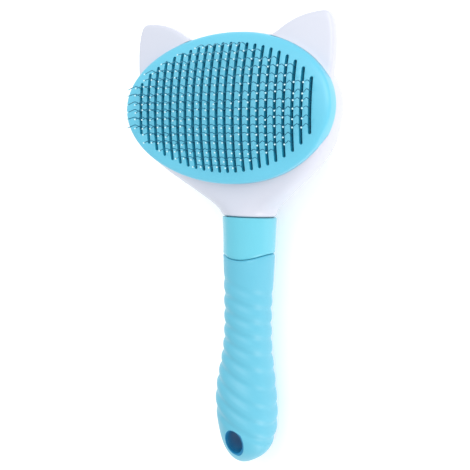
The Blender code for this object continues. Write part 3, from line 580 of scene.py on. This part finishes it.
def make_push_plate():
    """The slotted plate, its skirt, and the two legs that hook under the carrier."""
    count, edge_steps = 192, 8
    profile = [(inset, 0.0) for inset in np.linspace(PLATE_Y, PLATE_EDGE, 16)[:-1]]
    for i in range(edge_steps + 1):
        turn = math.pi / 2 * i / edge_steps
        profile.append((PLATE_EDGE * (1 - math.sin(turn)), -PLATE_EDGE_DROP * (1 - math.cos(turn))))
    profile += rounded((0.0, -SKIRT_DEPTH), SKIRT_OUTER_ROUND, (0.0, 1.0), (1.0, 0.0))
    profile += rounded((SKIRT_WALL, -SKIRT_DEPTH), SKIRT_INNER_ROUND, (-1.0, 0.0), (0.0, 1.0))
    profile += [(SKIRT_WALL, -PLATE_THICK - SKIRT_FILLET), (SKIRT_WALL + SKIRT_FILLET, -PLATE_THICK)]
    profile += [(inset, -PLATE_THICK) for inset in np.linspace(SKIRT_WALL + 3.0, PLATE_Y, 10)]
    rings = [oval_ring(PLATE_X, PLATE_Y, inset, height, count) for inset, height in profile]
    plate = loft("hair_push_plate_look", rings)
    # The second look paints shade on the slot walls.
    looks = [PLATE_LOOK, SLOT_SHADE_LOOK]
    give_looks(plate, looks)
    combine(plate, [slot_cutters(looks)])

    legs = []
    wide = (-LEG_HALF, LEG_HALF)
    for side in (1, -1):
        leg_x = sorted((side * LEG_IN, side * LEG_OUT))
        hook_x = sorted((side * (LEG_IN - HOOK_REACH), side * (LEG_IN + HOOK_LAP)))
        legs.append(block(f"leg_{side}", leg_x, wide, (LEG_BASE, LEG_TOP)))
        legs.append(block(f"hook_{side}", hook_x, wide, (HOOK_BASE, HOOK_TOP)))
    combine(plate, legs, "UNION")
    finish_piece(plate, [], PUSH, ["hair_push_plate"])


# --- Pins ------------------------------------------------------------------------------------------


def pin_path(place, lean_y, stretch):
    """A wire's course along the brush and up: straight up its hole, out to the knee and back to the tip."""
    foot, knee = np.array(PIN_FOOT), np.array(PIN_KNEE)
    tip = np.array(PIN_TIP) + (lean_y, stretch)
    up = (knee - foot) / np.linalg.norm(knee - foot)
    back = (tip - knee) / np.linalg.norm(tip - knee)
    before, after = knee - KNEE_BEND * up, knee + KNEE_BEND * back
    points = [np.array(PIN_BASE), foot - (0.0, 0.6), foot + 0.5 * up]
    for t in np.linspace(0.0, 1.0, 7):
        points.append((1 - t) ** 2 * before + 2 * t * (1 - t) * knee + t**2 * after)
    points.append(tip)
    return [(place + run, rise + barrel(place)) for run, rise in points]


def add_bead(made, centre):
    """Adds the ball at the end of a wire, in the piece's second material."""
    around, bands = 10, 6
    x, y, z = centre
    rings = []
    for i in range(1, bands):
        turn = math.pi * i / bands
        radius, height = BEAD_R * math.sin(turn), z - BEAD_R * math.cos(turn)
        rings.append([made.verts.new((x + radius * math.cos(a), y + radius * math.sin(a), height))
                      for a in whole_turn(around)])
    low, high = made.verts.new((x, y, z - BEAD_R)), made.verts.new((x, y, z + BEAD_R))
    for i in range(around):
        j = (i + 1) % around
        found = [made.faces.new((low, rings[0][j], rings[0][i]))]
        found.append(made.faces.new((rings[-1][i], rings[-1][j], high)))
        for ring, following in zip(rings, rings[1:]):
            found.append(made.faces.new((ring[i], ring[j], following[j], following[i])))
        for face in found:
            face.material_index = 1


def make_pins():
    """The rows of wires: two columns of slots to a row, unevenly spread as bent wires are."""
    chance = np.random.default_rng(PIN_SEED)
    columns = slot_columns()
    for row, count in enumerate(PINS_IN_ROWS):
        made = bmesh.new()
        for x in (columns[2 * row], columns[2 * row + 1]):
            for i in range(count):
                place = (i - (count - 1) / 2) * PIN_PITCH
                lean_x = PIN_SPLAY * (x - PIN_UPRIGHT_X) + chance.normal(0.0, SPREAD_X)
                lean_y = WAVE_Y * math.sin(WAVE_STEP * i + WAVE_SHIFT * row) + chance.normal(0.0, SPREAD_Y)
                stretch = -abs(chance.normal(0.0, SPREAD_Z))
                path = pin_path(place, lean_y, stretch)
                tilt = [lean_x * max(0.0, rise - barrel(place)) / PIN_TIP[1] for _, rise in path]
                line = [(x + shift, y, z) for shift, (y, z) in zip(tilt, path)]
                sweep(made, line, WIRE_R, 8, (1.0, 0.0, 0.0))
                add_bead(made, line[-1])
        pins = new_object(f"pin_row_{row + 1:02d}_look", made)
        finish_piece(pins, [WIRE_LOOK, BEAD_LOOK], HEAD, [f"pin_row_{row + 1:02d}"])


def make_pin_plate():
    """The dark plate that the pins stand in, notched at its ends for the push plate's legs."""
    count = 128
    profile = [(inset, PIN_PLATE_TOP) for inset in np.linspace(PIN_PLATE_Y, 0.6, 8)[:-1]]
    profile += [(0.25, PIN_PLATE_TOP - 0.05), (0.0, PIN_PLATE_TOP - 0.4)]
    rings = [oval_ring(PIN_PLATE_X, PIN_PLATE_Y, inset, height, count) for inset, height in profile]
    rings += [at_height(oval(PIN_PLATE_X - inset, PIN_PLATE_Y - inset, count), PIN_PLATE_BASE)
              for inset in np.linspace(0.0, PIN_PLATE_Y, 6)]
    plate = loft("pin_plate_look", rings)
    combine(plate, [leg_way(f"notch_{side}", side, 60.0, (-15.0, 5.0)) for side in (1, -1)])
    finish_piece(plate, [BASE_LOOK], HEAD, ["pin_plate"])


def leg_way(name, side, outer, heights):
    """A cutter that leaves room for one of the push plate's legs, as far out as outer."""
    x_range = sorted((side * (LEG_IN - GAP), side * outer))
    return block(name, x_range, (-LEG_HALF - GAP, LEG_HALF + GAP), heights)


# --- Head ------------------------------------------------------------------------------------------

head_width = profile_curve(HEAD_WIDTH)
head_front, head_middle, head_back = (profile_curve(t, 3.0) for t in (HEAD_FRONT, HEAD_MIDDLE, HEAD_BACK))


def even_ring(points, count):
    """The closed line through the points, cut into equal lengths."""
    closed = np.vstack([points, points[:1]])
    steps = np.linalg.norm(np.diff(closed, axis=0), axis=1)
    lengths = np.concatenate([[0.0], np.cumsum(steps)])
    places = np.linspace(0.0, lengths[-1], count, endpoint=False)
    return np.stack([np.interp(places, lengths, closed[:, k]) for k in range(2)], 1)


def signed_power(value, power):
    return np.sign(value) * np.abs(value) ** power


def head_ring(y, inset, count):
    """The outline across the head at y. The upper half is squarer over the face and round at the neck."""
    if y <= 0:
        half, front, middle, back = head_width(y), head_front(y), head_middle(y), head_back(y)
    else:
        fade = math.sqrt(max(0.0, 1 - (y / HEAD_TOP_Y) ** 2))
        deep = max(0.0, 1 - (y / HEAD_TOP_Y) ** TOP_POWER) ** (1 / TOP_POWER)
        half, middle = HEAD_X * fade, HEAD_WIDEST_Z
        front, back = middle + (HEAD_FRONT_Z - middle) * deep, middle + (HEAD_BACK_Z - middle) * deep
    blend = min(1.0, max(0.0, (y - NECK_Y) / NECK_BLEND))
    upper_power = ROUND_POWER + (SQUARE_POWER - ROUND_POWER) * blend * blend * (3 - 2 * blend)
    least = 0.01
    turn = whole_turn(720)
    upper = np.sin(turn) > 0
    power = np.where(upper, upper_power, ROUND_POWER)
    reach = np.where(upper, max(front - middle - inset, least), max(middle - back - inset, least))
    x = max(half - inset, least) * signed_power(np.cos(turn), 2 / power)
    z = middle + reach * signed_power(np.sin(turn), 2 / power)
    return [(px, y, pz) for px, pz in even_ring(np.stack([x, z], 1), count)]


def head_body(name, inset, count, steps):
    """The whole outside of the head, or its inside where inset is the wall."""
    top = HEAD_TOP_Y - inset
    low = NECK_Y - (1.0 if inset else 0.0)
    places = [low + (top - low) * math.sin(math.pi / 2 * i / steps) for i in range(steps)]
    scale = HEAD_TOP_Y / top
    rings = []
    for y in places:
        ring = head_ring(y * scale if y > 0 else max(y, NECK_Y), inset, count)
        rings.append([(x, y, z) for x, _, z in ring])
    rings.append([(0.0, top, HEAD_WIDEST_Z)] * count)
    return loft(name, rings)


def parting_block(name, upper):
    """Everything above, or below, the surface where the two shells meet."""
    shift = PARTING_GAP if upper else -PARTING_GAP
    far_x, far_y, far_z = 70.0, 60.0, 30.0 if upper else -80.0
    points = [(y, z + shift) for y, z in PARTING_LINE] + [(far_y, far_z), (-far_y, far_z)]
    return loft(name, [[(x, y, z) for y, z in points] for x in (-far_x, far_x)])


def head_outside(name):
    """The head and both ears run together."""
    whole = head_body(name, 0.0, 160, 80)
    ears = []
    for side in (-1, 1):
        outline = smooth_outline([(side * x, y) for x, y in EAR_OUTLINE])
        ears.append(rounded_prism(f"ear_{side}", outline, EAR_BACK, EAR_FRONT, EAR_ROUND))
    made = bmesh.new()
    for solid in (whole, *ears):
        made.from_mesh(solid.data)
    made.to_mesh(whole.data)
    made.free()
    for ear in ears:
        bpy.data.objects.remove(ear)
    melt(whole, MELT_VOXEL, MELT_ROUNDS)
    return whole


def make_shells():
    front = head_outside("head_front_shell_look")
    rear = bpy.data.objects.new("head_rear_shell_look", front.data.copy())
    bpy.context.scene.collection.objects.link(rear)
    make_front_shell(front)
    make_rear_shell(rear)


def make_front_shell(front):
    """Hollows the front half and sinks the seat that the slotted plate rests in."""
    combine(front, [parting_block("front_half", True)], "INTERSECT")
    count, seat_x, seat_y = 160, PLATE_X + SEAT_GAP, PLATE_Y + SEAT_GAP
    seat = [at_height(oval(seat_x, seat_y, count), 30.0)]
    seat += [oval_ring(seat_x, seat_y, inset, -RIM_DROP, count) for inset in np.linspace(0.0, seat_y, 12)]
    combine(front, [head_body("front_hollow", WALL, 120, 60), loft("seat", seat)])
    finish_piece(front, [WHITE_LOOK], HEAD, ["head_front_shell"], angle=40.0)


def make_rear_shell(rear):
    """Hollows the rear half, adds its screw posts and cuts the button's hole, flared to the outside."""
    combine(rear, [parting_block("rear_half", False)], "INTERSECT")
    combine(rear, [head_body("rear_hollow", WALL, 120, 60)])
    below = -60.0
    hole_r, flare_r = BUTTON_R + 0.4, BUTTON_R + 5.4
    hole = [(0.0, below), (flare_r, below), (flare_r, -42.0), (hole_r, -37.0), (hole_r, -28.0), (0.0, -28.0)]
    holes = [lathe("button_hole", hole, 96)]
    posts = []
    for number, (x, y, top) in enumerate(screw_posts()):
        at = (x, y)
        posts.append(prism(f"post_{number}", oval(POST_R, POST_R, 40, at), POST_BASE, top))
        holes.append(prism(f"post_hole_{number}", oval(POST_HOLE_R, POST_HOLE_R, 24, at), below, 0.0))
        holes.append(prism(f"post_sink_{number}", oval(POST_SINK_R, POST_SINK_R, 40, at), below,
                           top - POST_SINK_FLOOR))
    for number, post in enumerate(posts):
        combine(post, [head_body(f"trim_{number}", 0.5, 96, 48)], "INTERSECT")
    combine(rear, posts, "UNION")
    combine(rear, holes)
    finish_piece(rear, [WHITE_LOOK], HEAD, ["head_rear_shell"], angle=40.0)


def screw_posts():
    """Each post's place and the height of its top."""
    x, y = SHELL_SCREW_AT
    top = PARTING_Z - GAP / 2
    return [(-x, y, top), (x, y, top), (0.0, NECK_SCREW_Y, NECK_POST_TOP)]


def pin_screw_places():
    x, y = PIN_SCREW_AT
    return [(x, y), (-x, y), (-x, -y), (x, -y)]


def make_ledge():
    """The frame inside the front shell that the pins' plates are screwed to."""
    below, above = -16.0, 0.0
    ledge = prism("pin_ledge", oval(LEDGE_X, LEDGE_Y, 128), LEDGE_BASE, LEDGE_TOP)
    combine(ledge, [prism("ledge_opening", oval(LEDGE_HOLE_X, LEDGE_HOLE_Y, 128), below, above)])
    lugs = []
    for i, (x, y) in enumerate(pin_screw_places()):
        x_range, y_range = sorted(x * share for share in LUG_X), sorted(y * share for share in LUG_Y)
        lugs.append(block(f"lug_{i}", x_range, y_range, (LEDGE_BASE, LEDGE_TOP)))
    combine(ledge, lugs, "UNION")
    combine(ledge, [leg_way(f"way_{side}", side, LEG_OUT + 2 * GAP, (below, above)) for side in (1, -1)])
    finish_piece(ledge, [WHITE_LOOK], HEAD, [])


# --- Push mechanism --------------------------------------------------------------------------------


def make_button():
    """The round cup that is pressed, with a dished face, a flange inside the shell and a screw post."""
    face, floor, corner_steps = BUTTON_FACE, BUTTON_FACE + BUTTON_WALL, 8
    profile = [(radius, face + depth) for radius, depth in BUTTON_DISH] + [(BUTTON_FLAT_R, face)]
    for i in range(1, corner_steps + 1):
        turn = math.pi / 2 * i / corner_steps
        profile.append((BUTTON_FLAT_R + (BUTTON_R - BUTTON_FLAT_R) * math.sin(turn),
                        face + BUTTON_ROUND * (1 - math.cos(turn))))
    rim, inside, flange_top = BUTTON_R + FLANGE, BUTTON_R - BUTTON_WALL, FLANGE_BASE + FLANGE_HIGH
    post_top, bore_floor = BUTTON_POST_TOP, BUTTON_BORE_FLOOR
    profile += [(BUTTON_R, FLANGE_BASE), (rim, FLANGE_BASE), (rim, flange_top), (inside, flange_top)]
    profile += [(inside, floor), (BUTTON_POST_R, floor), (BUTTON_POST_R, post_top)]
    profile += [(BUTTON_BORE_R, post_top), (BUTTON_BORE_R, bore_floor), (0.0, bore_floor)]
    button = lathe("push_button_look", profile, 96)
    finish_piece(button, [PLATE_LOOK], PUSH, ["push_button"])


def make_springs():
    """Two compression springs, with closer turns near both ends. In the brush they squash as the plate comes
    out; here they keep one shape.
    """
    t = np.linspace(0.0, 1.0, SPRING_TURNS * 28 + 1)
    opened = np.clip((t - SPRING_END) / (1 - 2 * SPRING_END), 0.0, 1.0)
    length = SPRING_HIGH - SPRING_LOW
    share = SPRING_END * t + (1 - SPRING_END) * opened
    rise = SPRING_LOW + SPRING_WIRE + (length - 2 * SPRING_WIRE) * share
    angle = 2 * math.pi * SPRING_TURNS * t
    for number, side in enumerate((-1, 1)):
        path = np.stack([side * SPRING_X + SPRING_R * np.cos(angle), SPRING_R * np.sin(angle), rise], 1)
        made = bmesh.new()
        sweep(made, path, SPRING_WIRE, 10, (0.0, 0.0, 1.0))
        spring = new_object(f"return_spring_{number + 1}_look", made)
        finish_piece(spring, [SPRING_LOOK], HEAD, [f"return_spring_{number + 1}"])
        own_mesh(spring)


def make_screw(name, at, ends, body):
    """A pan-head screw with a cross recess. ends are the heights of its head's outer end and of its tip."""
    head_end, tip_end = ends
    way = 1 if tip_end > head_end else -1
    crown_steps, neck = 6, head_end + way * SCREW_HEAD_HIGH
    profile = [(0.0, head_end)]
    for i in range(1, crown_steps + 1):
        turn = math.pi / 2 * i / crown_steps
        profile.append((SCREW_HEAD_R * math.sin(turn), head_end + way * SCREW_CROWN * (1 - math.cos(turn))))
    profile += [(SCREW_HEAD_R, neck), (SCREW_SHANK_R, neck)]
    profile += [(SCREW_SHANK_R, tip_end - way * SCREW_SHANK_R), (0.0, tip_end)]
    screw = lathe(name + "_look", profile, 32, at)
    depth = sorted((head_end - way, head_end + way * SCREW_CROWN))
    (x, y), arms = at, []
    for half_x, half_y in ((RECESS_LONG, RECESS_WIDE), (RECESS_WIDE, RECESS_LONG)):
        arms.append(block("recess_arm", (x - half_x, x + half_x), (y - half_y, y + half_y), depth))
    combine(screw, arms)
    finish_piece(screw, [SCREW_LOOK], body, [name])


def make_screws():
    for number, place in enumerate(pin_screw_places(), 1):
        make_screw(f"pin_plate_screw_{number}", place, PIN_SCREW, HEAD)
    x, y = SHELL_SCREW_AT
    for number, side in enumerate((-1, 1), 1):
        make_screw(f"shell_screw_{number}", (side * x, y), SHELL_SCREW, HEAD)
    make_screw("neck_screw", (0.0, NECK_SCREW_Y), NECK_SCREW, HEAD)
    make_screw("button_screw", (0.0, 0.0), BUTTON_SCREW, PUSH)


# --- Handle ----------------------------------------------------------------------------------------

handle_width, handle_front = profile_curve(HANDLE_WIDTH, 2.5), profile_curve(HANDLE_FRONT, 2.5)
handle_back, handle_middle = profile_curve(HANDLE_BACK, 2.5), profile_curve(HANDLE_MIDDLE, 2.5)
ridge_slope = profile_curve(RIDGE_SLOPE, 2.5)


def handle_size(y):
    """Half the handle's width at y, and its depths in front of and behind its widest line."""
    if y > HANDLE_ROUND_Y:
        return handle_width(y), handle_front(y), handle_back(y)
    t = min(1.0, (HANDLE_ROUND_Y - y) / (HANDLE_ROUND_Y - HANDLE_END))
    curves = (HANDLE_WIDTH, END_WIDTH), (HANDLE_FRONT, END_FRONT), (HANDLE_BACK, END_BACK)
    return tuple(sizes[0][1] * (1 - t**inner) ** outer for sizes, (inner, outer) in curves)


def ridge(y):
    """How far the sleeve's surface dips here: soft crests between narrower valleys."""
    start, end = RIDGE_FIRST + RIDGE_PITCH / 2, RIDGE_LAST - RIDGE_PITCH / 2
    if not end <= y <= start:
        return 0.0
    valley = 0.5 + 0.5 * math.cos(2 * math.pi * (RIDGE_FIRST - y) / RIDGE_PITCH)
    fade = min(1.0, RIDGE_START + (start - y) / (2 * RIDGE_PITCH))
    return -RIDGE_DEPTH * fade * valley**VALLEY_POWER


def handle_ring(y, inset, count, ridged=False, lip=0.0):
    """The handle's outline at y, taken in by inset. lip is how much of the seam's dip it follows in front."""
    dip = ridge(y) if ridged else 0.0
    half, front, back = (max(size - inset, 0.0) + dip for size in handle_size(y))
    turn = whole_turn(count)
    x, rise = half * np.cos(turn), np.sin(turn)
    place = y - (ridge_slope(y) * x if ridged else 0.0) - lip * SEAM_DIP * np.maximum(0.0, rise) ** 2
    z = np.array([handle_middle(at) for at in place]) + np.where(rise > 0, front, back) * rise
    return np.stack([x, place, z], 1)


def handle_height(x, y, way):
    """How high the handle's front (way 1) or back (way -1) stands here."""
    half, front, back = handle_size(y)
    return handle_middle(y) + way * (front if way > 0 else back) * math.sqrt(max(0.0, 1 - (x / half) ** 2))


def hang_hole_cutter(name, flare, looks):
    """An oval hole through the handle's end that widens by flare where it leaves the handle on both sides."""
    count, below, above = 64, -70.0, 0.0
    rings = []
    for way in (-1, 1):
        levels = []
        for spread, rise in HANG_HOLE_EDGE:
            wider = flare * spread
            outline = oval(HANG_HOLE_X_R + wider, HANG_HOLE_Y_R + wider, count, (0.0, HANG_HOLE_Y))
            levels.append([(x, y, handle_height(x, y, way) + way * rise) for x, y in outline])
        levels.append([(x, y, below if way < 0 else above) for x, y, _ in levels[-1]])
        rings += levels[::-1] if way < 0 else levels
    cutter = loft(name, rings)
    # The hole's walls take the second look, the painted shade inside the hole.
    for face in cutter.data.polygons:
        face.material_index = 1
    give_looks(cutter, looks)
    return cutter


def make_sleeve(count):
    """The ridged sleeve. Its rings run up its inside, over its edge at the seam and down its outside."""
    step = 0.4
    seam, first = SLEEVE_Y - SEAM_GAP, SLEEVE_Y - 3.0
    closing = 1 - np.cos(np.linspace(0.0, math.pi / 2, 48))
    ends = HANDLE_END + (HANDLE_ROUND_Y - HANDLE_END) * closing
    places = [first - 0.2, *np.arange(first, HANDLE_ROUND_Y, -step)[1:], *ends[::-1]]
    rings = [handle_ring(y, COVER, count) for y in reversed(SLEEVE_INNER_PLACES)]
    rings.append(handle_ring(seam, COVER, count, lip=1.0))
    rings += [handle_ring(seam - run, drop, count, lip=1.0) for run, drop in SEAM_ROUND]
    rings += [handle_ring(y, 0.0, count, ridged=True) for y in places]
    sleeve = loft("grip_sleeve_look", rings)
    # The second look is the hang hole's painted shade.
    looks = [GRIP_LOOK, HOLE_SHADE_LOOK]
    give_looks(sleeve, looks)
    combine(sleeve, [hang_hole_cutter("sleeve_hole", 1.0, looks)])
    finish_piece(sleeve, [], HEAD, ["grip_sleeve"])


def make_core(count):
    """The hard core: inside the sleeve, out at the collar, and a tenon that the neck screw goes through."""
    inset, low, high = COVER + 0.1, SLEEVE_Y + SEAM_GAP, NECK_Y - NECK_GAP
    rings = [handle_ring(y, inset, count) for y in reversed(SLEEVE_INNER_PLACES)]
    rings.append(handle_ring(low, inset, count, lip=1.0))
    rings += [handle_ring(low + run, drop, count, lip=1.0) for run, drop in SEAM_ROUND]
    for y in np.linspace(low + 1.6, high - 0.6, 24):
        rings.append(handle_ring(y, 0.0, count, lip=max(0.0, 1 - (y - SLEEVE_Y) / COLLAR_FADE)))
    rings += [handle_ring(high - run, drop, count) for run, drop in NECK_EDGE]
    core = loft("handle_core_look", rings)
    tenon_r = NECK_R - WALL - 2.5 * GAP
    tenon_ring = oval(tenon_r, tenon_r, 64, (0.0, NECK_Z))
    combine(core, [loft("tenon", [[(x, y, z) for x, z in tenon_ring] for y in TENON_Y])], "UNION")
    # The second look is the hang hole's painted shade.
    looks = [COLLAR_LOOK, HOLE_SHADE_LOOK]
    give_looks(core, looks)
    combine(core, [hang_hole_cutter("core_hole", 0.0, looks)])
    hole_r = POST_R + GAP
    combine(core, [prism("tenon_hole", oval(hole_r, hole_r, 32, (0.0, NECK_SCREW_Y)), -60.0, 0.0)])
    finish_piece(core, [], HEAD, ["handle_core"])


def make_handle():
    count = 96
    make_sleeve(count)
    make_core(count)


# --- Stage -----------------------------------------------------------------------------------------


def make_floor():
    made = bmesh.new()
    bmesh.ops.create_grid(made, x_segments=8, y_segments=8, size=FLOOR_HALF)
    mesh = bpy.data.meshes.new("floor")
    made.to_mesh(mesh)
    made.free()
    floor = bpy.data.objects.new("floor", mesh)
    floor.location.z = -FLOOR_DROP
    mesh.materials.append(floor_paper())
    bpy.context.scene.collection.objects.link(floor)


def add_area_light(name, at, aim, size, watts, colour):
    data = bpy.data.lights.new(name, "AREA")
    data.shape = "DISK"
    data.size = size
    data.energy = watts
    data.color = colour
    light = bpy.data.objects.new(name, data)
    light.location = at
    light.rotation_euler = (Vector(aim) - Vector(at)).to_track_quat("-Z", "Y").to_euler()
    bpy.context.scene.collection.objects.link(light)


def make_studio():
    """A pale bluish room with a soft key over the head, a wide top light and a warm one along the handle."""
    world = bpy.data.worlds.new("studio")
    bpy.context.scene.world = world
    world.use_nodes = True
    background = world.node_tree.nodes["Background"]
    background.inputs["Color"].default_value = (0.88, 0.96, 1.0, 1.0)
    background.inputs["Strength"].default_value = 0.80
    add_area_light("key", (0.24, 0.30, 0.52), (0.0, 0.03, 0.02), 0.45, 1.15, (1.0, 0.97, 0.94))
    add_area_light("top", (-0.1, 0.5, 1.1), (0.0, 0.0, 0.0), 0.9, 2.8, (1.0, 0.98, 0.96))
    add_area_light("side", (0.58, -0.52, 0.10), (0.0, -0.10, 0.02), 0.45, 2.2, (1.0, 0.89, 0.84))
    scene = bpy.context.scene
    scene.view_settings.view_transform = "Standard"
    scene.view_settings.look = "None"


def make_camera():
    """The view from over the head's right side, with the brush's length upright in the frame."""
    right, up = Vector(CAMERA_RIGHT).normalized(), Vector(CAMERA_UP)
    back = right.cross(up).normalized()
    up = back.cross(right)
    data = bpy.data.cameras.new("camera")
    data.sensor_width = SENSOR
    data.lens = LENS
    data.clip_start = 0.01
    data.clip_end = 20.0
    camera = bpy.data.objects.new("camera", data)
    place = FACE + Vector(CAMERA_AT) * MM
    camera.matrix_world = Matrix.Translation(place) @ Matrix((right, up, back)).transposed().to_4x4()
    bpy.context.scene.collection.objects.link(camera)
    bpy.context.scene.camera = camera


make_camera()
make_studio()
make_floor()
make_push_plate()
make_pins()
make_pin_plate()
make_shells()
make_ledge()
make_button()
make_springs()
make_screws()
make_handle()
# These two stay as the CAD has them, out of sight, and take a look of their own.
for node in ("pin_backing_plate", "push_carrier"):
    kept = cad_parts[node]
    kept.data.materials.clear()
    give_looks(kept, [INNER_LOOK])
